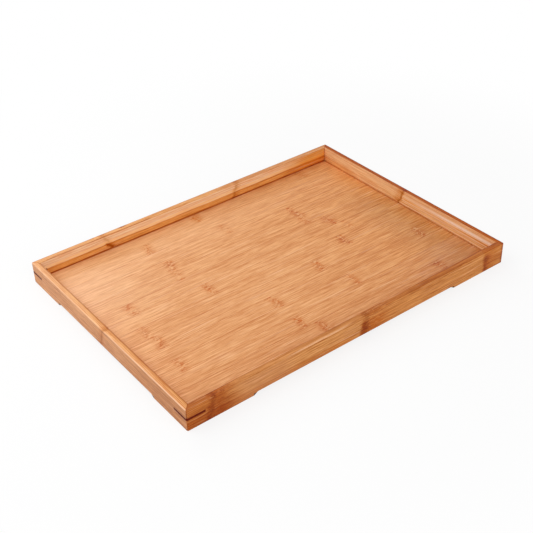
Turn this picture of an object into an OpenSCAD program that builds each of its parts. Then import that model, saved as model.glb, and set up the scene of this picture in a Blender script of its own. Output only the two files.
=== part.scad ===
// Gongfu tea tray. Four bamboo rails meet in mitres. A panel of edge-glued bamboo staves has a
// tongue all round, which sits in a groove in the rails. Dark wooden keys lock the mitres at the
// left end. Each rail is cut away underneath between its ends, so the tray stands on its corners.
// X runs along the front from left to right, Y from front to back, and Z up.
// The origin is on the table, under the middle of the tray.

/* [Tray] */
// Outside length, left to right
tray_len = 400; // [300:1:520]
// Outside width, front to back
tray_wid = 288; // [220:1:400]
// Height of the rim above the table
tray_high = 24.4; // [19:0.1:36]

/* [Rails] */
// Thickness of the four rails
rail_thick = 6.8; // [5.6:0.1:10]
// Rounding of the rails' long edges
edge_round = 0.8; // [0.4:0.1:1.5]
// Rounding of the four upright corners, seen from above
corner_round = 1.6; // [1:0.1:3]

/* [Feet] */
// Height of the cut-away under each rail, which is the height of the feet
foot_high = 2.7; // [1.6:0.1:4]
// Length of the feet along the front and back rails, at the table
long_rail_foot = 72; // [40:1:100]
// Length of the feet along the left and right rails, at the table
short_rail_foot = 54; // [30:1:80]
// Run of the sloped end of a foot
foot_slope = 4.6; // [1:0.1:8]

/* [Panel] */
// Thickness of the panel
panel_thick = 4; // [3:0.1:6]
// Thickness of the tongue round the panel's edges, halfway up them
tongue_thick = 2; // [1.4:0.1:2.6]
// Gap between the panel's shoulders and the rails
shoulder_gap = 0.3; // [0.1:0.1:0.8]
// Depth of the groove that holds the tongue
groove_deep = 3.4; // [2:0.1:4.2]
// Gap left between the tongue and the bottom of the groove, where the panel can swell
panel_play = 0.4; // [0.1:0.1:1]
// Number of staves side by side in the panel
stave_count = 14; // [10:1:18]
// Width of the front stave, which is trimmed to fit
front_stave_wid = 16.2; // [8:0.1:22]

/* [Corner keys] */
// Thickness of the keys across the mitres
key_thick = 2.6; // [1.5:0.1:4]
// Length of a key along each outer face, from the corner
key_leg = 20; // [12:0.5:30]

/* [Hidden] */
$fn = 48;
// Extra reach of a cut past the face that it opens
over = 1;
// Middle of the keys, halfway between the cut-away and the rim
key_mid = (foot_high + tray_high) / 2;
// Underside of the tongue and of its groove
tongue_low = foot_high + (panel_thick - tongue_thick) / 2;
// The panel's size, tongues included
panel_inset = rail_thick - groove_deep + panel_play;
panel_len = tray_len - 2 * panel_inset;
panel_wid = tray_wid - 2 * panel_inset;
stave_wid = (panel_wid - front_stave_wid) / (stave_count - 1);

RAILS = ["rail_front", "rail_right", "rail_back", "rail_left"];
KEYS = ["corner_key_front_left", "corner_key_back_left"];
STAVES = [for (n = [1 : stave_count]) str("stave_", n < 10 ? "0" : "", n)];

// Colours of the bamboo, one for each stave in turn, and of the keys
rail_tan = [0.80, 0.53, 0.31];
rail_honey = [0.87, 0.62, 0.40];
key_brown = [0.30, 0.12, 0.06];
stave_tans = [[0.90, 0.66, 0.45], [0.86, 0.62, 0.42], [0.88, 0.65, 0.46], [0.84, 0.58, 0.38]];

// A bar's section with rounded edges, standing on the origin's right
module rounded_bar(wid, high, round) {
    translate([round, 0]) square([wid - 2 * round, high]);
    translate([0, round]) square([wid, high - 2 * round]);
    for (x = [round, wid - round], y = [round, high - round])
        translate([x, y]) circle(round);
}

// Section of a rail at a foot: outer face at x = 0, groove in the inner face
module rail_section() {
    difference() {
        rounded_bar(rail_thick, tray_high, edge_round);
        translate([rail_thick - groove_deep, tongue_low])
            square([groove_deep + over, tongue_thick]);
    }
}

// The outer layer of the section, turned over to spin round an upright corner
module corner_section() {
    intersection() {
        translate([corner_round, 0]) mirror([1, 0]) rail_section();
        square([corner_round, tray_high]);
    }
}

// Rail stock along X with its outer face at y = 0 and both outer corners rounded
module rail_stock(len) {
    straight = len - 2 * corner_round;
    translate([-straight / 2, 0, 0]) rotate([90, 0, 90])
        linear_extrude(straight) rail_section();
    for (end = [0, 1]) mirror([end, 0, 0])
        translate([-straight / 2, corner_round, 0]) rotate([0, 0, 180])
            rotate_extrude(angle = 90) corner_section();
}

// What the two mitres leave of the stock, seen from above
module mitre_wedge(len) {
    outer = len / 2 + over;
    inner = len / 2 - rail_thick - over;
    translate([0, 0, -over]) linear_extrude(tray_high + 2 * over)
        polygon([[-outer, -over], [outer, -over],
                 [inner, rail_thick + over], [-inner, rail_thick + over]]);
}

// The cut-away between the feet, with sloped ends and an eased outer edge
module cut_away(run) {
    low = run / 2;
    high = run / 2 - foot_slope;
    low_over = low + foot_slope * over / foot_high;
    translate([0, rail_thick + over, 0]) rotate([90, 0, 0])
        linear_extrude(rail_thick + 2 * over)
            polygon([[-low_over, -over], [low_over, -over],
                     [high, foot_high], [-high, foot_high]]);
    translate([-high, 0, foot_high]) rotate([90, 0, 90])
        linear_extrude(2 * high)
            difference() {
                translate([-over, -over]) square(over + edge_round);
                translate([edge_round, edge_round]) circle(edge_round);
            }
}

// A mitred rail with its feet, in the middle of the X axis
module rail(len, foot_len) {
    difference() {
        intersection() {
            rail_stock(len);
            mitre_wedge(len);
        }
        cut_away(len - 2 * foot_len);
    }
}

// Moves a shape made at the origin's corner to the tray's front left or back left corner
module at_left_corner(back) {
    translate([-tray_len / 2, (back ? 1 : -1) * tray_wid / 2, key_mid - key_thick / 2])
        mirror([0, back ? 1 : 0, 0]) children();
}

// The saw cut for a key, straight across the corner
module key_slot(back) {
    at_left_corner(back) linear_extrude(key_thick)
        polygon([[-over, -over], [key_leg + over, -over], [-over, key_leg + over]]);
}

// A key fills its slot and is trimmed flush with the rails' outer and inner faces
module key(back) {
    at_left_corner(back) linear_extrude(key_thick)
        intersection() {
            polygon([[0, 0], [key_leg, 0], [0, key_leg]]);
            difference() {
                union() {
                    translate([corner_round, 0]) square(key_leg);
                    translate([0, corner_round]) square(key_leg);
                    translate([corner_round, corner_round]) circle(corner_round);
                }
                translate([rail_thick, rail_thick]) square(key_leg);
            }
        }
}

module rail_front() {
    color(rail_tan) difference() {
        translate([0, -tray_wid / 2, 0]) rail(tray_len, long_rail_foot);
        key_slot(false);
    }
}

module rail_right() {
    color(rail_tan)
        translate([tray_len / 2, 0, 0]) rotate([0, 0, 90]) rail(tray_wid, short_rail_foot);
}

module rail_back() {
    color(rail_honey) difference() {
        translate([0, tray_wid / 2, 0]) rotate([0, 0, 180]) rail(tray_len, long_rail_foot);
        key_slot(true);
    }
}

module rail_left() {
    color(rail_honey) difference() {
        translate([-tray_len / 2, 0, 0]) rotate([0, 0, -90]) rail(tray_wid, short_rail_foot);
        key_slot(false);
        key_slot(true);
    }
}

module corner_key_front_left() { color(key_brown) key(false); }

module corner_key_back_left() { color(key_brown) key(true); }

// The panel as it is before it is told apart in staves: a board with a tongue all round
module tongued_board() {
    inset = rail_thick + shoulder_gap;
    board = [tray_len - 2 * inset, tray_wid - 2 * inset, panel_thick];
    translate([-board.x / 2, -board.y / 2, foot_high]) cube(board);
    translate([-panel_len / 2, -panel_wid / 2, tongue_low])
        cube([panel_len, panel_wid, tongue_thick]);
}

// Stave n of the panel, counted from the back, with its tongues in the rails' grooves
module stave(n) {
    back = panel_wid / 2 - (n - 1) * stave_wid;
    wid = n < stave_count ? stave_wid : front_stave_wid;
    color(stave_tans[(n - 1) % len(stave_tans)]) intersection() {
        tongued_board();
        translate([-panel_len / 2, back - wid, foot_high]) cube([panel_len, wid, panel_thick]);
    }
}

rail_front();
rail_right();
rail_back();
rail_left();
corner_key_front_left();
corner_key_back_left();
for (n = [1 : stave_count])
    stave(n);
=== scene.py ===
"""Gongfu tea tray: bamboo rails, a panel of bamboo staves and two dark corner keys, finished round the frame."""

import math

import bmesh
import bpy
from mathutils import Matrix, Vector


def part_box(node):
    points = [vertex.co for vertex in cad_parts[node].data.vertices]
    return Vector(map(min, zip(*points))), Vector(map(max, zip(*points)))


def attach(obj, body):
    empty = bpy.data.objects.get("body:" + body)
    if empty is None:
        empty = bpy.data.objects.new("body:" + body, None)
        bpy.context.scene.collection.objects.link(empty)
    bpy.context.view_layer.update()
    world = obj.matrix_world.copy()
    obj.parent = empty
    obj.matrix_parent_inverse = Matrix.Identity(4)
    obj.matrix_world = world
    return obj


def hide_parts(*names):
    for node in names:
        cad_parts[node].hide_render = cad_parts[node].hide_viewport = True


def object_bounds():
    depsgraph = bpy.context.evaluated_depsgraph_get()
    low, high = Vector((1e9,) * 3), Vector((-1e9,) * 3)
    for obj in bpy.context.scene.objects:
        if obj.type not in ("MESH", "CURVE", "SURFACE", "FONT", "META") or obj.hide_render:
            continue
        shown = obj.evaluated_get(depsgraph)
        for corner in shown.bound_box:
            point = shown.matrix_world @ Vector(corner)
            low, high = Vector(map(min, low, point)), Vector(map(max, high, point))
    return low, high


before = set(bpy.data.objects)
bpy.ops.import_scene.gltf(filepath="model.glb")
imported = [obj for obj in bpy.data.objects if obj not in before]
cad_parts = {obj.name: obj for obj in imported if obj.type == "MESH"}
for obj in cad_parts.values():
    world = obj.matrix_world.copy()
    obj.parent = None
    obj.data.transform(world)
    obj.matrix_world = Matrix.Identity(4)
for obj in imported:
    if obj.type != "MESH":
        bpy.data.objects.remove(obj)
cad_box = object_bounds()

# Sizes in metres. Shader values are in millimetres, which MM turns into metres
MM = 0.001

# The tray as the frame gives it
HALF_LEN = cad_box[1].x
HALF_WID = cad_box[1].y
RIM = cad_box[1].z
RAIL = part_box("rail_front")[1].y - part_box("rail_front")[0].y
PANEL_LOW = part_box("stave_02")[0].z
PANEL_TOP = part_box("stave_02")[1].z
STAVES = sorted(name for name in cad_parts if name.startswith("stave_"))
KEY_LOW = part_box("corner_key_front_left")[0].z
KEY_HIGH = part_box("corner_key_front_left")[1].z
KEY_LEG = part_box("corner_key_front_left")[1].x + HALF_LEN

# The rails' joinery, as it was built
TONGUE_LOW = 3.7 * MM
TONGUE_HIGH = 5.7 * MM
GROOVE_DEEP = 3.4 * MM
SHOULDER_GAP = 0.3 * MM
FOOT_HIGH = 2.7 * MM
LONG_FOOT = 72 * MM
SHORT_FOOT = 54 * MM
FOOT_SLOPE = 4.6 * MM

# Eased edges
CORNER_ROUND = 1.6 * MM
ARRIS_ROUND = 0.8 * MM
MITRE_EASE = 0.10 * MM
KEY_EASE = 0.08 * MM
STAVE_EASE = 0.14 * MM
CORNER_STEPS = 6
ARRIS_STEPS = 4
NEAR = 0.01 * MM


def whole(mesh):
    """Every vertex, edge and face of a mesh in the making."""
    return [*mesh.verts, *mesh.edges, *mesh.faces]


def ease(mesh, edges, size, steps):
    """Rounds edges over, and shades only the rounding smooth."""
    made = bmesh.ops.bevel(
        mesh, geom=list(edges), offset=size, offset_type="OFFSET", affect="EDGES", segments=steps,
        profile=0.5, material=-1, clamp_overlap=True)
    for face in made["faces"]:
        face.smooth = True


def cut(mesh, geometry, point, normal, keep_all=True):
    """Cuts geometry along a plane, and drops what lies beyond it unless all of it stays."""
    return bmesh.ops.bisect_plane(
        mesh, geom=geometry, dist=NEAR / 10, plane_co=point, plane_no=normal, clear_outer=not keep_all)


def piece(name, mesh, slot, finish, *nodes):
    """Turns a finished mesh into the visible piece that stands for some of the frame's nodes."""
    bmesh.ops.recalc_face_normals(mesh, faces=mesh.faces)
    data = bpy.data.meshes.new(name)
    mesh.to_mesh(data)
    mesh.free()
    made = bpy.data.objects.new(name, data)
    bpy.context.scene.collection.objects.link(made)
    made.data.materials.append(finish)
    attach(made, "root")
    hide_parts(*nodes)
    return made


# The frame of four rails

def plain_ring():
    """A square-edged ring with the outside of the frame, the groove in its inner walls."""
    ring = bmesh.new()
    bmesh.ops.create_cube(ring, size=1)
    bmesh.ops.scale(ring, vec=(2 * HALF_LEN, 2 * HALF_WID, RIM), verts=ring.verts)
    bmesh.ops.translate(ring, vec=(0, 0, RIM / 2), verts=ring.verts)
    lids = [face for face in ring.faces if abs(face.normal.z) > 0.5]
    bmesh.ops.inset_individual(ring, faces=lids, thickness=RAIL, use_even_offset=True)
    inner = [edge for lid in lids for edge in lid.edges]
    bmesh.ops.delete(ring, geom=lids, context="FACES_ONLY")
    walls = bmesh.ops.bridge_loops(ring, edges=inner)["faces"]
    bmesh.ops.recalc_face_normals(ring, faces=ring.faces)
    around = [*walls, *{edge for wall in walls for edge in wall.edges}]
    for height in (TONGUE_LOW, TONGUE_HIGH):
        around = cut(ring, around, (0, 0, height), (0, 0, 1))["geom"]
    groove = [
        face for face in around
        if isinstance(face, bmesh.types.BMFace) and TONGUE_LOW < face.calc_center_median().z < TONGUE_HIGH]
    deeper = bmesh.ops.extrude_face_region(ring, geom=groove)["geom"]
    bmesh.ops.delete(ring, geom=groove, context="FACES")
    wall = Vector((HALF_LEN - RAIL, HALF_WID - RAIL))
    bmesh.ops.scale(
        ring, verts=[vert for vert in deeper if isinstance(vert, bmesh.types.BMVert)],
        vec=(1 + GROOVE_DEEP / wall.x, 1 + GROOVE_DEEP / wall.y, 1))
    return ring


def cut_away(ring):
    """Lifts the underside between the feet, with a slope at each foot's end."""
    long_run = HALF_LEN - LONG_FOOT
    short_run = HALF_WID - SHORT_FOOT
    for side in (-1, 1):
        for run in (long_run, long_run - FOOT_SLOPE):
            cut(ring, whole(ring), (side * run, 0, 0), (1, 0, 0))
        for run in (short_run, short_run - FOOT_SLOPE):
            cut(ring, whole(ring), (0, side * run, 0), (0, 1, 0))
    for vert in ring.verts:
        clear_x = abs(vert.co.x) < long_run - FOOT_SLOPE + NEAR
        clear_y = abs(vert.co.y) < short_run - FOOT_SLOPE + NEAR
        if vert.co.z < NEAR and (clear_x or clear_y):
            vert.co.z = FOOT_HIGH


def saw_slot(ring, back):
    """Saws the slot for a key straight across a left corner."""
    corner = Vector((-HALF_LEN, HALF_WID if back else -HALF_WID, 0))
    inward = Vector((1, -1 if back else 1, 0)).normalized()
    reach = KEY_LEG / math.sqrt(2)

    def depth(point):
        return (point - corner).dot(inward)

    def block(low, high):
        faces = [
            face for face in ring.faces
            if (face.calc_center_median() - corner).to_2d().length < HALF_WID / 2
            and low < face.calc_center_median().z < high]
        return [*faces, *{edge for face in faces for edge in face.edges}]

    for height in (KEY_LOW, KEY_HIGH):
        cut(ring, block(TONGUE_HIGH, RIM - ARRIS_ROUND / 2), (0, 0, height), (0, 0, 1))
    cut(ring, block(KEY_LOW, KEY_HIGH), corner + inward * reach, inward)
    waste = [
        face for face in block(KEY_LOW, KEY_HIGH)
        if isinstance(face, bmesh.types.BMFace) and depth(face.calc_center_median()) < reach]
    bmesh.ops.delete(ring, geom=waste, context="FACES")
    rim = [edge for edge in ring.edges if edge.is_boundary]
    ends = {vert for edge in rim for vert in edge.verts if abs(depth(vert.co) - reach) < NEAR}
    for height in (KEY_LOW, KEY_HIGH):
        level = [vert for vert in ends if abs(vert.co.z - height) < NEAR]
        for side in (-1, 1):
            pair = [vert for vert in level if side * (vert.co - corner).cross(inward).z > 0]
            rim.append(ring.edges.new(pair))

    def lies(edge, test):
        return all(test(vert.co) for vert in edge.verts)

    for height in (KEY_LOW, KEY_HIGH):
        flat = [edge for edge in rim if lies(edge, lambda at: abs(at.z - height) < NEAR)]
        bmesh.ops.contextual_create(ring, geom=flat)
    for side in (-1, 1):
        wall = [
            edge for edge in rim
            if lies(edge, lambda at: abs(depth(at) - reach) < NEAR and side * (at - corner).cross(inward).z > 0)]
        bmesh.ops.contextual_create(ring, geom=wall)


def finished_ring():
    """The whole frame as one ring, rounded and slotted, before its mitres are cut."""
    ring = plain_ring()
    cut_away(ring)
    upright = [
        edge for edge in ring.edges
        if all(abs(vert.co.x) > HALF_LEN - NEAR and abs(vert.co.y) > HALF_WID - NEAR for vert in edge.verts)]
    ease(ring, upright, CORNER_ROUND, CORNER_STEPS)
    ring.normal_update()
    arrises = [
        edge for edge in ring.edges
        if len(edge.link_faces) == 2
        and sum(abs(face.normal.z) > 0.3 for face in edge.link_faces) == 1
        and not TONGUE_LOW - NEAR < (edge.verts[0].co.z + edge.verts[1].co.z) / 2 < TONGUE_HIGH + NEAR]
    ease(ring, arrises, ARRIS_ROUND, ARRIS_STEPS)
    for back in (False, True):
        saw_slot(ring, back)
    return ring


def rail(ring, outward, finish, node):
    """One rail of the ring, mitred at both ends."""
    mesh = ring.copy()
    outward = Vector(outward)
    along = Vector((-outward.y, outward.x, 0))
    middle = outward * abs(outward.dot(Vector((HALF_LEN, HALF_WID, 0))))
    half_run = abs(along.dot(Vector((HALF_LEN, HALF_WID, 0))))
    for side in (-1, 1):
        point = middle + side * half_run * along
        made = cut(mesh, whole(mesh), point, (side * along - outward).normalized(), keep_all=False)
        rim = [edge for edge in made["geom_cut"] if isinstance(edge, bmesh.types.BMEdge)]
        bmesh.ops.holes_fill(mesh, edges=rim, sides=0)
        bmesh.ops.bevel(
            mesh, geom=rim, offset=MITRE_EASE, offset_type="OFFSET", affect="EDGES", segments=1,
            profile=0.5, material=-1, clamp_overlap=True)
    return piece(node + "_finished", mesh, "rail_bamboo", finish, node)


# The keys and the staves

def key(back, finish, node):
    """A corner key, flush with the rails' outer and inner faces, its edges just eased."""
    mesh = bmesh.new()
    flank = KEY_LEG - RAIL
    outline = [(KEY_LEG, 0), (0, 0), (0, KEY_LEG), (RAIL, flank), (RAIL, RAIL), (flank, RAIL)]
    verts = [mesh.verts.new((x - HALF_LEN, y - HALF_WID, KEY_LOW)) for x, y in outline]
    base = mesh.faces.new(verts)
    lifted = bmesh.ops.extrude_face_region(mesh, geom=[base])["geom"]
    bmesh.ops.translate(
        mesh, vec=(0, 0, KEY_HIGH - KEY_LOW), verts=[vert for vert in lifted if isinstance(vert, bmesh.types.BMVert)])
    corner = Vector((-HALF_LEN, -HALF_WID))
    upright = [edge for edge in mesh.edges if all((vert.co.to_2d() - corner).length < NEAR for vert in edge.verts)]
    ease(mesh, upright, CORNER_ROUND, CORNER_STEPS)
    bmesh.ops.recalc_face_normals(mesh, faces=mesh.faces)
    rims = [edge for edge in mesh.edges if edge.calc_face_angle() > math.radians(40)]
    ease(mesh, rims, KEY_EASE, 1)
    if back:
        bmesh.ops.scale(mesh, vec=(1, -1, 1), verts=mesh.verts)
    return piece(node + "_finished", mesh, "key_wood", finish, node)


def stave(node, finish):
    """A stave with tongues where it meets the rails and eased edges where it meets its neighbours."""
    low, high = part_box(node)
    inset = RAIL + SHOULDER_GAP
    board_x = HALF_LEN - inset
    back = min(high.y, HALF_WID - inset)
    front = max(low.y, inset - HALF_WID)
    mesh = bmesh.new()
    bmesh.ops.create_cube(mesh, size=1)
    bmesh.ops.scale(mesh, vec=(2 * board_x, back - front, high.z - low.z), verts=mesh.verts)
    bmesh.ops.translate(mesh, vec=(0, (back + front) / 2, (high.z + low.z) / 2), verts=mesh.verts)
    tops = [edge for edge in mesh.edges if abs(edge.verts[0].co.z - edge.verts[1].co.z) < NEAR]
    ease(mesh, tops, STAVE_EASE, 2)
    for height in (TONGUE_LOW, TONGUE_HIGH):
        cut(mesh, whole(mesh), (0, 0, height), (0, 0, 1))

    def tongue(direction, reach):
        strip = [
            face for face in mesh.faces
            if face.normal.dot(direction) > 0.9 and TONGUE_LOW < face.calc_center_median().z < TONGUE_HIGH
            and face.calc_center_median().dot(direction) > reach - 4 * MM]
        drawn = bmesh.ops.extrude_face_region(mesh, geom=strip)["geom"]
        bmesh.ops.delete(mesh, geom=strip, context="FACES")
        for vert in drawn:
            if isinstance(vert, bmesh.types.BMVert):
                vert.co += direction * (reach - vert.co.dot(direction))

    if high.y > back + NEAR:
        tongue(Vector((0, 1, 0)), high.y)
    if low.y < front - NEAR:
        tongue(Vector((0, -1, 0)), -low.y)
    mesh.normal_update()
    for side in (-1, 1):
        tongue(Vector((side, 0, 0)), high.x)
    return piece(node + "_finished", mesh, "stave_bamboo", finish, node)


# Finishes

class Wire:
    """A socket of a node tree. Python's sums and products of it add the Math nodes for them."""

    def __init__(self, socket):
        self.socket = socket

    def node(self, kind, settings=None, inputs=None, output=0):
        """Adds a node: its settings first, a ramp's stops among them, then its sockets' values or links."""
        tree = self.socket.id_data
        made = tree.nodes.new(kind)
        for name, value in (settings or {}).items():
            if name == "stops":
                ramp = made.color_ramp
                while len(ramp.elements) < len(value):
                    ramp.elements.new(1)
                for element, (place, colour) in zip(ramp.elements, value):
                    element.position = place
                    element.color = colour
            else:
                setattr(made, name, value)
        for name, value in (inputs or {}).items():
            if isinstance(value, Wire):
                tree.links.new(value.socket, made.inputs[name])
            else:
                made.inputs[name].default_value = value
        return Wire(made.outputs[output])

    def math(self, operation, *others):
        return self.node("ShaderNodeMath", {"operation": operation}, dict(enumerate((self, *others))))

    def __add__(self, other):
        return self.math("ADD", other)

    def __mul__(self, other):
        return self.math("MULTIPLY", other)

    def __sub__(self, other):
        return self.math("SUBTRACT", other)

    def __rsub__(self, other):
        return self.node("ShaderNodeMath", {"operation": "SUBTRACT"}, {0: other, 1: self})

    __radd__ = __add__
    __rmul__ = __mul__

    def __abs__(self):
        return self.math("ABSOLUTE")

    def least(self, other):
        return self.math("MINIMUM", other)

    def most(self, other):
        return self.math("MAXIMUM", other)


def paint(red, green, blue):
    """A colour given as it shows on a screen, 0 to 255, for a shader's socket."""
    def straight(level):
        level /= 255
        return level / 12.92 if level <= 0.04045 else ((level + 0.055) / 1.055) ** 2.4
    return (straight(red), straight(green), straight(blue), 1)


def spot(x, y, z):
    """A point of a pattern, from three wires or numbers of which the first is a wire."""
    return x.node("ShaderNodeCombineXYZ", inputs={0: x, 1: y, 2: z})


def noise(point, detail=2.0, roughness=0.5):
    """A soft random value, about 0 in the middle and from -1 to 1."""
    return (point.node(
        "ShaderNodeTexNoise", inputs={"Vector": point, "Scale": 1.0, "Detail": detail, "Roughness": roughness})
        - 0.5) * 2


def rise(value, low, high):
    """A smooth step from 0 at low to 1 at high."""
    return value.node(
        "ShaderNodeMapRange", {"interpolation_type": "SMOOTHSTEP"},
        {"Value": value, "From Min": low, "From Max": high})


def hump(value, reach):
    """1 where the value is 0, down to 0 at plus and minus reach."""
    return 1 - rise(abs(value), 0, reach)


def between(value, low, high, soft):
    """1 from low to high, with soft ends."""
    return rise(value, low - soft, low + soft) * (1 - rise(value, high - soft, high + soft))


def blend(share, under, over, way="MIX"):
    """One colour over another, by a share from 0 to 1."""
    return share.node(
        "ShaderNodeMix", {"data_type": "RGBA", "blend_type": way}, {0: share, 6: under, 7: over}, output=2)


def stain(share, under, over):
    """Deepens a colour by a stain, which keeps the wood's own shades."""
    return blend(share, under, over, "MULTIPLY")


class Finish:
    """A new material, with its place on the object in millimetres and its surface to set."""

    def __init__(self, name):
        self.material = bpy.data.materials.new(name)
        self.material.use_nodes = True
        self.tree = self.material.node_tree
        self.surface = self.tree.nodes["Principled BSDF"]
        start = Wire(self.tree.nodes.new("ShaderNodeTexCoord").outputs["Object"])
        large = start.node("ShaderNodeMapping", inputs={"Vector": start, "Scale": (1 / MM, 1 / MM, 1 / MM)})
        split = [large.node("ShaderNodeSeparateXYZ", inputs={0: large}, output=axis) for axis in range(3)]
        self.x, self.y, self.z = split

    def set(self, **values):
        for name, value in values.items():
            socket = self.surface.inputs[name.replace("_", " ")]
            if isinstance(value, Wire):
                self.tree.links.new(value.socket, socket)
            else:
                socket.default_value = value
        return self.material


# Stains that deepen the bamboo under them, and a pale cream, laid both as pale fibres and as painted highlights and
# sheen
NODE_STAIN = paint(200, 162, 50)
FLECK_STAIN = paint(234, 180, 26)
ZONE_STAIN = paint(228, 186, 122)
FIBRE_STAIN = paint(240, 218, 178)
LINE_STAIN = paint(208, 156, 104)
CREAM = paint(250, 204, 168)


class Grain:
    """Bamboo fibres that run along, with the shade, streaks, nodes and relief that they give."""

    def __init__(self, along, across, deep, seed):
        self.along = along
        self.across = across
        self.deep = deep
        self.shift = seed * 13.7
        self.bend = noise(spot(along * 0.009 + self.shift, across * 0.05, deep * 0.05)) * 2.0
        self.core = None
        self.zone = None
        self.pale = None

    def noise(self, long, wide, offset=0.0, detail=1.0, roughness=0.5):
        """A pattern long and wide in cells per millimetre, along and across the fibres."""
        point = spot(
            self.along * long + (self.shift + offset), (self.across + self.bend) * wide, self.deep * wide)
        return noise(point, detail, roughness)

    def add_node(self, core, zone, pale):
        self.core = core if self.core is None else self.core.most(core)
        self.zone = zone if self.zone is None else self.zone.most(zone)
        self.pale = pale if self.pale is None else self.pale.most(pale)

    def stave_node(self, place, strength):
        """A node sanded flush: a soft smudge of short dashes across the fibres."""
        ragged = noise(spot(self.across * 0.10 + (self.shift + place), self.along * 0.02, 3.0)) * 6.0
        off = self.along - place + ragged
        dash = self.noise(0.27, 0.52, offset=place, detail=2.0, roughness=0.75)
        blot = self.noise(0.10, 0.20, offset=place * 0.5, detail=2.0)
        near = hump(off, 12.5)
        core = rise(dash + near * 0.5, 0.50, 0.80) * near * (1.2 * strength)
        zone = rise(hump(off, 15.0) + blot * 0.8, 0.3, 1.2) * hump(off, 17.0) * (0.75 * strength)
        pale = rise(near * 0.5 - dash, 0.45, 0.80) * near * (0.5 * strength)
        self.add_node(core, zone, pale)
        self.bend = self.bend + near * noise(
            spot(self.along * 0.16 + self.shift, self.across * 0.2, self.deep * 0.2)) * 2.4

    def rail_node(self, place, lean, core, before, after, strength, low=-2.0, high=30.0):
        """A node across a rail: a ragged dark core, and browner wood for some way before and after it."""
        wave = noise(
            spot(self.along * 0.10 + (self.shift + place), self.across * 0.16, self.deep * 0.16), 2.0)
        off = self.along - place - (self.across - 12) * lean + wave * 3.0
        fine = noise(spot(self.along * 0.30 + self.shift, self.across * 0.6, self.deep * 0.6), 3.0, 0.7)
        height = between(self.across, low, high, 1.5) * strength
        dark = rise(hump(off, core) + fine * 1.8, 0.2, 1.5) * hump(off, core * 1.8)
        dark = dark.most(hump(off, core * 0.6) * (0.85 + fine * 0.9))
        reach = rise(off, -before, -before * 0.2) * (1 - rise(off, after * 0.15, after))
        swirl = noise(spot(
            self.along * 0.07 + self.shift, self.across * 0.3 + wave * 1.6, self.deep * 0.3), 3.0, 0.6)
        zone = reach * rise(swirl, -0.7, 0.35)
        self.add_node(dark * height, zone * height, zone * 0)
        self.bend = self.bend + reach * wave * 3.5

    def shade(self, contrast=1.0):
        """How pale the wood is, about 0.5, and its relief."""
        self.cloud = self.noise(0.006, 0.07, detail=2.0)
        self.band = self.noise(0.014, 0.20, offset=2.0)
        self.streak = self.noise(0.017, 0.56, offset=4.0)
        self.hair = self.noise(0.04, 1.2, offset=6.0, detail=2.0, roughness=0.6)
        self.fleck = self.noise(0.13, 0.85, offset=8.0, detail=1.0)
        self.relief = self.streak * 0.5 + self.hair * 0.4
        if self.core is not None:
            self.relief = self.relief - self.core * 0.12
        mixed = self.cloud * 0.45 + self.band * 0.2 + self.streak * 1.15 + self.hair * 2.3 + self.fleck * 0.6
        return 0.5 + mixed * (0.55 * contrast)


def finish_bamboo(finish, grain, colour, node_stain, coat, gloss):
    """Lays the fibre bundles and nodes over the colour, with a thin satin lacquer on top."""
    cream = rise(grain.noise(0.018, 0.66, offset=9.0, detail=2.0), 0.14, 0.60)
    brown = rise(grain.noise(0.020, 0.80, offset=12.0, detail=2.0), 0.16, 0.62)
    colour = blend(cream * 0.4, colour, CREAM)
    colour = stain(brown * 0.7, colour, FIBRE_STAIN)
    if grain.core is not None:
        colour = stain(grain.zone, colour, ZONE_STAIN)
        colour = blend(grain.pale, colour, paint(250, 206, 150))
        colour = stain(grain.core, colour, node_stain)
    relief = grain.relief.node(
        "ShaderNodeBump", inputs={"Strength": 0.5, "Distance": 0.06 * MM, "Height": grain.relief})
    return finish.set(
        Base_Color=colour, Roughness=0.42 + grain.streak * 0.05 + brown * 0.08, Normal=relief,
        Specular_IOR_Level=gloss, Coat_Weight=coat, Coat_Roughness=0.32)


# Where each stave shows its nodes, along X in millimetres, with how strongly each shows
STAVE_NODES = {
    1: [(-5, 0.8), (148, 0.5)],
    2: [(-81, 0.7)],
    3: [(7, 0.4)],
    4: [(-79, 1.0), (88, 1.0)],
    5: [(-82, 0.6), (88, 0.9)],
    6: [(-151, 0.9), (107, 0.9)],
    7: [(-71, 0.9), (118, 0.5)],
    8: [(-161, 0.7), (94, 1.0)],
    9: [(-157, 0.8), (41, 1.0)],
    10: [(-32, 0.9), (167, 1.0)],
    11: [(-159, 0.7), (53, 0.8)],
    12: [(-34, 1.0)],
    13: [(-20, 1.0), (140, 1.0)],
    14: [(60, 0.8)],
}
# Staves cut from a darker or a paler culm. Staves 1 to 3, at the back, are paler still as painted light
STAVE_TONES_AND_LIGHT = {1: 0.14, 2: 0.10, 3: 0.08, 5: 0.06, 7: 0.08, 9: 0.06, 10: -0.06, 13: -0.08}


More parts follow.
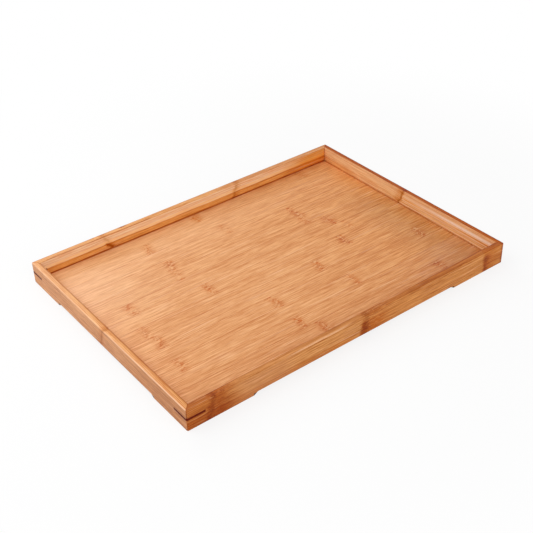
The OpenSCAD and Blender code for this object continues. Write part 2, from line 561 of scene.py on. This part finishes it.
def stave_finish(node):
    """A stave's bamboo: flat grain along X, a faint glue line at both edges."""
    number = int(node.split("_")[1])
    low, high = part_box(node)
    finish = Finish(node + "_bamboo")
    across = finish.y - (low.y + high.y) / 2 / MM
    half = (high.y - low.y) / 2 / MM
    grain = Grain(finish.x, across, finish.z, number)
    for place, strength in STAVE_NODES[number]:
        grain.stave_node(place, strength)
    shade = grain.shade() + STAVE_TONES_AND_LIGHT.get(number, 0.0)
    shade = shade + grain.hair * rise(finish.x, 0, 180) * 0.5
    colour = shade.node("ShaderNodeValToRGB", {"stops": [
        (0.0, paint(202, 127, 66)), (0.5, paint(222, 154, 96)), (1.0, paint(241, 181, 126))]}, {0: shade})
    # Painted shade: the panel darkens towards the right, where the light falls off
    colour = stain(rise(finish.x, -60, 200), colour, paint(245, 231, 204))
    # Painted shade: a cooler, duller strip by the right rail at the front, against the light the rail bounces onto
    # the panel
    colour = stain(rise(finish.x, 120, 186) * (1 - rise(finish.y, 0, 100)), colour, paint(232, 236, 240))
    # Painted sheen and light: the panel is paler and pinker at the far left and along the back
    left_sheen = (1 - rise(finish.x, -180, -60)) * rise(finish.y, -20, 100)
    back_light = rise(finish.y, 60, 120) * (0.6 - rise(finish.x, 20, 150) * 0.3)
    colour = blend(left_sheen.most(back_light) * 0.26, colour, paint(250, 205, 162))
    # Painted shadow: the panel darkens next to the left rail, in the rail's shade
    colour = stain(1 - rise(finish.x, -193, -176), colour, paint(238, 224, 206))
    glue = rise(abs(across), half - 0.5, half - 0.1)
    colour = stain(glue * 0.4, colour, LINE_STAIN)
    board_x = (HALF_LEN - RAIL) / MM
    board_y = (HALF_WID - RAIL) / MM
    # Painted shade on the panel along its edges, where it meets the rails' inner walls
    joint_shade = rise(abs(finish.x), board_x - 1.8, board_x - 0.4).most(
        rise(abs(finish.y), board_y - 1.8, board_y - 0.4))
    colour = stain(joint_shade * 0.8, colour, paint(220, 150, 78))
    # Painted reflection: a pinkish grey patch on the front staves towards the right
    if number > 11:
        reflection_patch = rise(finish.x, 90, 140) * rise(grain.noise(0.04, 0.14, offset=30.0, detail=3.0), -0.6, 0.4)
        colour = blend(reflection_patch * 0.3, colour, paint(196, 138, 106))
    return finish_bamboo(finish, grain, colour, FLECK_STAIN, 0.20, 0.2)


class RailFinish(Finish):
    """A rail's bamboo, in two plies that are glued one on the other, and its separate faces."""

    def __init__(self, node, seed, nodes):
        super().__init__(node + "_bamboo")
        long_rail = node in ("rail_front", "rail_back")
        self.along = self.x if long_rail else self.y
        outside = (HALF_WID if long_rail else HALF_LEN) / MM
        self.deep = outside - abs(self.y if long_rail else self.x)
        self.grain = Grain(self.along, self.z, self.deep, seed)
        for node_place in nodes:
            self.grain.rail_node(*node_place)
        self.shade = self.grain.shade()
        self.wavy = self.z + self.grain.noise(0.02, 0.02, offset=20.0, detail=3.0) * 0.8
        rail_thick = RAIL / MM
        rim = RIM / MM
        run = (HALF_LEN if long_rail else HALF_WID) / MM
        self.mitre = hump(run - abs(self.along) - self.deep, 0.9)
        self.top = rise(self.z, rim - 0.8, rim - 0.2)
        side = 1 - self.top
        self.inner = rise(self.deep, rail_thick - 0.9, rail_thick - 0.5) * side
        self.outer = (1 - rise(self.deep, 0.5, 0.9)) * side
        foot = ((HALF_LEN - LONG_FOOT) if long_rail else (HALF_WID - SHORT_FOOT)) / MM
        slope = between(abs(self.along), foot - FOOT_SLOPE / MM - 0.3, foot + 0.2, 0.2)
        # The foot's sloped end: darker end grain, with painted shadow over it
        self.end_grain_and_shadow = slope * (1 - rise(self.z, FOOT_HIGH / MM - 0.2, FOOT_HIGH / MM + 0.3))

    def mixed(self, dark, pale):
        return blend(self.shade, dark, pale)

    def faces(self, outer, inner, top):
        inside = rise(self.deep, RAIL / MM - 0.9, RAIL / MM - 0.5)
        self.colour = blend(self.top, blend(inside, self.mixed(*outer), self.mixed(*inner)), self.mixed(*top))

    def lay(self, share, colour):
        self.colour = blend(share, self.colour, colour)

    def stain(self, share, colour):
        self.colour = stain(share, self.colour, colour)

    def line(self, face, height, width, share, start=-210, end=210, colour=LINE_STAIN):
        """A line of darker fibre along one face, that comes and goes."""
        comes = rise(self.grain.noise(0.012, 0.01, offset=height * 3.0, detail=2.0), -0.7, 0.3)
        stretch = between(self.along, start, end, 8)
        self.stain(hump(self.wavy - height, width) * face * comes * stretch * share, colour)

    def arris_highlight(self, height, share):
        """A painted highlight along the eased edge at some height of the outer face."""
        edge = hump(self.z - height, 0.8) * (1 - rise(self.deep, 0.7, 1.1))
        self.lay(edge * share, CREAM)

    def done(self):
        self.stain(self.mitre * 0.8, LINE_STAIN)
        # Darker end grain with painted shadow on the feet's sloped ends
        self.stain(self.end_grain_and_shadow, paint(104, 58, 30))
        return finish_bamboo(self, self.grain, self.colour, NODE_STAIN, self.top * 0.08, 0.08)


def rail_front_finish():
    """The front rail: tan upper ply, redder lower ply, nodes near both ends and in the middle."""
    made = RailFinish("rail_front", 31, [
        (-174, 0.2, 8, 8, 42, 0.8, -2.0, 17.0), (-173, 0.2, 6, 8, 28, 0.7, 15.0, 30.0),
        (5, 0.0, 12, 8, 44, 1.4, -2.0, 18.0), (6, 0.1, 10, 8, 40, 0.6, 16.0, 30.0),
        (173, 0.0, 8, 3, 12, 0.9, -2.0, 21.0)])
    made.faces(
        outer=(paint(178, 106, 44), paint(226, 162, 98)),
        inner=(paint(204, 132, 74), paint(236, 174, 116)),
        top=(paint(174, 103, 46), paint(217, 148, 88)))
    side = 1 - made.inner
    lower = (1 - rise(made.wavy, 8.8, 9.6)) * (1 - rise(made.along, -30, 20))
    made.stain(lower * made.outer, paint(240, 218, 184))
    made.stain((1 - rise(made.along, -168, -135)) * side * 0.8, paint(218, 176, 108))
    made.stain(rise(made.along, 2, 30) * side * 0.5, paint(248, 230, 196))
    patchy = rise(made.grain.noise(0.05, 0.12, offset=40.0, detail=3.0), -0.8, 0.2)
    made.stain(rise(made.along, 168, 172) * side * (0.1 + patchy * 0.6), paint(238, 204, 122))
    made.stain(rise(made.along, 195, 198.4) * side * 0.8, paint(200, 148, 80))
    made.stain(made.top * (rise(made.along, 0, 14) + rise(made.along, 40, 100)) * 0.36, paint(228, 198, 146))
    made.line(made.outer, 9.2, 0.8, 0.7)
    made.line(made.outer, 5.5, 0.6, 0.5)
    made.line(made.outer, 14.0, 0.6, 0.5)
    made.line(made.outer, 18.5, 0.6, 0.5)
    made.line(made.outer, 22.4, 0.8, 0.7)
    made.lay(between(made.along, -148, -84, 16) * made.outer * 0.4, paint(196, 132, 88))
    # Painted highlight along the outer top edge, left of the middle
    made.arris_highlight(RIM / MM - 0.25, between(made.along, -84, -16, 14) * 0.45)
    # Painted shade along the inner top edge, darker towards the right
    inner_edge_shade = rise(made.deep, 5.2, 6.0) * rise(made.z, 22.6, 23.6)
    made.stain(inner_edge_shade * (0.4 + rise(made.along, 50, 110) * 0.4), paint(196, 138, 80))
    return made.done()


def rail_right_finish():
    """The right rail: a pale inner wall with a yellow line, and a dark brown top."""
    made = RailFinish("rail_right", 32, [(4, -0.35, 4.0, 4, 14, 0.9)])
    made.faces(
        outer=(paint(176, 104, 50), paint(220, 152, 94)),
        inner=(paint(220, 154, 92), paint(252, 208, 152)),
        top=(paint(150, 58, 2), paint(188, 96, 12)))
    made.lay(rise(made.wavy, 15.4, 16.4) * made.inner * 0.3, paint(250, 208, 166))
    # Painted sheen: a pale pinkish streak in threads along the upper inner wall, towards the front
    sheen_threads = rise(made.grain.noise(0.012, 0.9, offset=50.0, detail=2.0), -0.9, 0.1)
    made.lay(
        between(made.z, 16.9, 20.6, 1.2) * (1 - rise(made.along, -90, 4)) * made.inner * sheen_threads,
        paint(255, 230, 210))
    made.lay(hump(made.wavy - 18.2, 0.8) * between(made.along, -70, 2, 8) * made.inner * 0.55, paint(255, 226, 196))
    made.line(made.inner, 15.2, 1.3, 1.1, -140, 0, paint(240, 192, 104))
    made.lay(between(made.z, 4, 14, 2) * rise(made.along, 10, 50) * made.inner * 0.2, CREAM)
    made.line(made.inner, 12.6, 0.7, 0.6)
    made.line(made.inner, 22.4, 0.7, 0.6)
    for height in (13.6, 8.8):
        made.lay(hump(made.wavy - height, 1.0) * made.inner * (1 - rise(made.along, -10, 20)) * 0.65, CREAM)
    made.line(made.inner, 10.2, 0.6, 0.7, -160, 20, paint(244, 204, 130))
    made.line(made.inner, 17.4, 0.5, 0.7, -160, 20, paint(236, 184, 136))
    made.line(made.inner, 7.4, 0.9, 0.8)
    made.stain(
        between(made.z, -2, 13, 1.0) * rise(made.along, 60, 100) * made.inner * 0.8, paint(244, 216, 170))
    # Painted shade at the foot of the inner wall, just above the panel
    made.stain((1 - rise(made.z, 6.6, 7.8)) * made.inner * 0.7, paint(230, 170, 96))
    # Painted shade along the outer top edge
    made.stain(hump(made.deep, 2.0) * rise(made.z, 22.5, 23.8) * 0.9, paint(190, 134, 80))
    # Painted highlight on the inner edge of the top
    made.lay(rise(made.deep, 4.8, 5.8) * made.top * 0.8, made.mixed(paint(214, 140, 84), paint(240, 180, 128)))
    return made.done()


def rail_back_finish():
    """The back rail: the inner wall's upper ply is pale, its lower ply dark orange."""
    made = RailFinish("rail_back", 33, [
        (-112, -0.9, 6.0, 6, 9, 1.4, 8.0, 15.0), (-110, -0.6, 3.5, 6, 8, 0.4, 15.0, 26.0),
        (56, 0.3, 4.0, 5, 9, 0.5)])
    made.faces(
        outer=(paint(178, 106, 50), paint(222, 156, 98)),
        inner=(paint(238, 178, 128), paint(252, 224, 186)),
        top=(paint(206, 134, 74), paint(240, 178, 116)))
    lower = 1 - rise(made.wavy, 14.2, 14.7)
    made.lay(lower * made.inner * 0.95, made.mixed(paint(200, 116, 40), paint(246, 176, 92)))
    made.lay(between(made.wavy, 14.9, 17.2, 0.5) * made.inner * 0.6, paint(255, 206, 134))
    made.stain(rise(made.along, 110, 170) * made.inner, paint(238, 200, 132))
    # Painted shade at the foot of the inner wall, just above the panel
    made.stain((1 - rise(made.z, 6.8, 8.8)) * made.inner * 0.8, paint(214, 150, 74))
    made.line(made.inner, 7.5, 1.0, 1.0)
    made.line(made.inner, 13.4, 0.9, 0.6)
    made.line(made.inner, 21.6, 0.8, 0.5)
    made.line(made.inner, 19.2, 0.6, 0.5)
    # Painted shade: the top darkens towards the right, where the light falls off
    made.stain(rise(made.along, 0, 80) * made.top * 0.8, paint(240, 232, 242))
    # Painted shade along the outer top edge
    made.stain(hump(made.deep, 1.8) * rise(made.z, 22.5, 23.8) * 0.9, paint(190, 138, 84))
    made.stain(
        rise(made.deep, 5.2, 5.9) * made.top * between(made.along, -188, -60, 6) * 0.7, paint(196, 140, 90))
    made.stain(hump(made.along + 92, 8) * hump(made.deep - 1.6, 2.2) * made.top, paint(180, 120, 70))
    return made.done()


def rail_left_finish():
    """The left rail: pinkish outside, its top honey yellow with fine lines."""
    made = RailFinish("rail_left", 34, [(1, -0.3, 4.0, 5, 10, 0.6)])
    made.faces(
        outer=(paint(190, 122, 76), paint(240, 178, 128)),
        inner=(paint(206, 138, 84), paint(240, 180, 124)),
        top=(paint(224, 148, 86), paint(253, 199, 142)))
    for height in (5.0, 7.5, 14.0, 16.6, 18.8):
        made.line(made.outer, height, 0.6, 0.6, colour=FIBRE_STAIN)
    for deep in (2.0, 3.4, 4.6):
        made.stain(hump(made.deep - deep, 0.4) * made.top * 0.6, LINE_STAIN)
    # Painted shade: the outer face darkens towards the front
    made.stain((1 - rise(made.along, -130, 40)) * made.outer, paint(236, 226, 214))
    made.stain(rise(made.deep, 2.4, 3.2) * made.top, paint(248, 244, 224))
    # Painted shade and sheen: the top darkens towards the front and is paler at the back
    made.stain((1 - rise(made.along, -80, 60)) * made.top, paint(248, 240, 236))
    made.lay(rise(made.along, 10, 70) * made.top * 0.12, CREAM)
    # Painted shade along the inner top edge
    made.stain(rise(made.deep, 4.6, 5.6) * rise(made.z, 22.6, 23.6) * 0.8, paint(196, 148, 98))
    # Painted highlight along the outer top edge, stronger towards the front
    made.arris_highlight(RIM / MM - 0.3, 0.85 - rise(made.along, -60, 20) * 0.35)
    return made.done()


def key_finish():
    """The keys' dark hardwood, with fine straight grain and a satin lacquer."""
    finish = Finish("key_hardwood")
    lengthwise = finish.x - abs(finish.y)
    fine = noise(spot(lengthwise * 0.15, finish.z * 3.0, finish.x * 0.4), detail=3.0, roughness=0.6)
    shade = 0.5 + fine * 0.8
    colour = shade.node(
        "ShaderNodeValToRGB", {"stops": [(0.2, paint(80, 15, 2)), (0.8, paint(118, 34, 7))]}, {0: shade})
    relief = fine.node("ShaderNodeBump", inputs={"Strength": 0.3, "Distance": 0.05 * MM, "Height": fine})
    return finish.set(
        Base_Color=colour, Roughness=0.45 + fine * 0.06, Normal=relief, Specular_IOR_Level=0.04,
        Coat_Weight=0.0)


# The pieces

ring = finished_ring()
rail(ring, (0, -1, 0), rail_front_finish(), "rail_front")
rail(ring, (1, 0, 0), rail_right_finish(), "rail_right")
rail(ring, (0, 1, 0), rail_back_finish(), "rail_back")
rail(ring, (-1, 0, 0), rail_left_finish(), "rail_left")
ring.free()
hardwood = key_finish()
key(False, hardwood, "corner_key_front_left")
key(True, hardwood, "corner_key_back_left")
for node in STAVES:
    stave(node, stave_finish(node))


# The studio

def looks(tree):
    """1 for the rays that show the background, 0 for those that light the tray."""
    rays = tree.nodes.new("ShaderNodeLightPath")
    seen = Wire(rays.outputs["Is Camera Ray"]).most(Wire(rays.outputs["Is Glossy Ray"]))
    return seen.most(Wire(rays.outputs["Is Transmission Ray"]))


def floor():
    """A plain pale floor that looks white to the camera and still takes the tray's soft shadow."""
    mesh = bmesh.new()
    bmesh.ops.create_grid(mesh, x_segments=1, y_segments=1, size=6)
    data = bpy.data.meshes.new("floor")
    mesh.to_mesh(data)
    mesh.free()
    made = bpy.data.objects.new("floor", data)
    bpy.context.scene.collection.objects.link(made)
    material = bpy.data.materials.new("floor_white")
    material.use_nodes = True
    tree = material.node_tree
    tree.nodes["Principled BSDF"].inputs["Base Color"].default_value = (0.92, 0.92, 0.92, 1)
    tree.nodes["Principled BSDF"].inputs["Roughness"].default_value = 0.9
    tree.nodes["Principled BSDF"].inputs["Specular IOR Level"].default_value = 0.0
    seen = looks(tree)
    white = seen.node("ShaderNodeEmission", inputs={"Color": (1, 1, 1, 1), "Strength": 1.0})
    place = Wire(tree.nodes.new("ShaderNodeTexCoord").outputs["Object"])
    far = place.node("ShaderNodeVectorMath", {"operation": "LENGTH"}, {0: place}, output=1)
    shadow = 0.18 * (1 - rise(far, 0.28, 0.60))
    mixed = seen.node(
        "ShaderNodeMixShader",
        inputs={0: seen * (1 - shadow), 1: Wire(tree.nodes["Principled BSDF"].outputs[0]), 2: white})
    tree.links.new(mixed.socket, tree.nodes["Material Output"].inputs["Surface"])
    data.materials.append(material)


def sky():
    """A plain white surround that gives the soft fill, and shows as white."""
    world = bpy.data.worlds.new("studio")
    bpy.context.scene.world = world
    world.use_nodes = True
    tree = world.node_tree
    strength = FILL + looks(tree) * (1 - FILL)
    tree.links.new(strength.socket, tree.nodes["Background"].inputs["Strength"])
    tree.nodes["Background"].inputs["Color"].default_value = (1, 1, 1, 1)


def lamp(name, place, size, power):
    """A square softbox aimed at the middle of the tray."""
    light = bpy.data.lights.new(name, "AREA")
    light.size = size
    light.energy = power
    made = bpy.data.objects.new(name, light)
    made.location = place
    made.rotation_euler = Vector(place).to_track_quat("Z", "Y").to_euler()
    bpy.context.scene.collection.objects.link(made)


def camera():
    """The photograph's camera: above and left of the front left corner."""
    data = bpy.data.cameras.new("camera")
    data.sensor_width = 36
    data.lens = data.sensor_width * CAMERA_REACH / PHOTO_WIDE
    made = bpy.data.objects.new("camera", data)
    turn = (CAMERA_PLACE - CAMERA_AIM).to_track_quat("Z", "Y").to_matrix().to_4x4()
    made.matrix_world = Matrix.Translation(CAMERA_PLACE) @ turn @ Matrix.Rotation(CAMERA_ROLL, 4, "Z")
    bpy.context.scene.collection.objects.link(made)
    bpy.context.scene.camera = made


# The photograph is 533 pixels wide, and the camera's focal length is given in its pixels
PHOTO_WIDE = 533
CAMERA_REACH = 989.7
CAMERA_PLACE = Vector((-0.5097, -0.6842, 0.6029))
CAMERA_AIM = Vector((0.0040, 0.0094, 0.0))
CAMERA_ROLL = math.radians(-1.92)
FILL = 0.44

floor()
sky()
lamp("top_softbox", (-0.65, 0.35, 1.00), 0.9, 6.5)
lamp("front_softbox", (-0.10, -1.50, 0.70), 1.2, 10.5)
lamp("back_softbox", (0.05, 1.45, 0.98), 0.8, 7.5)
camera()
bpy.context.scene.view_settings.view_transform = "Standard"
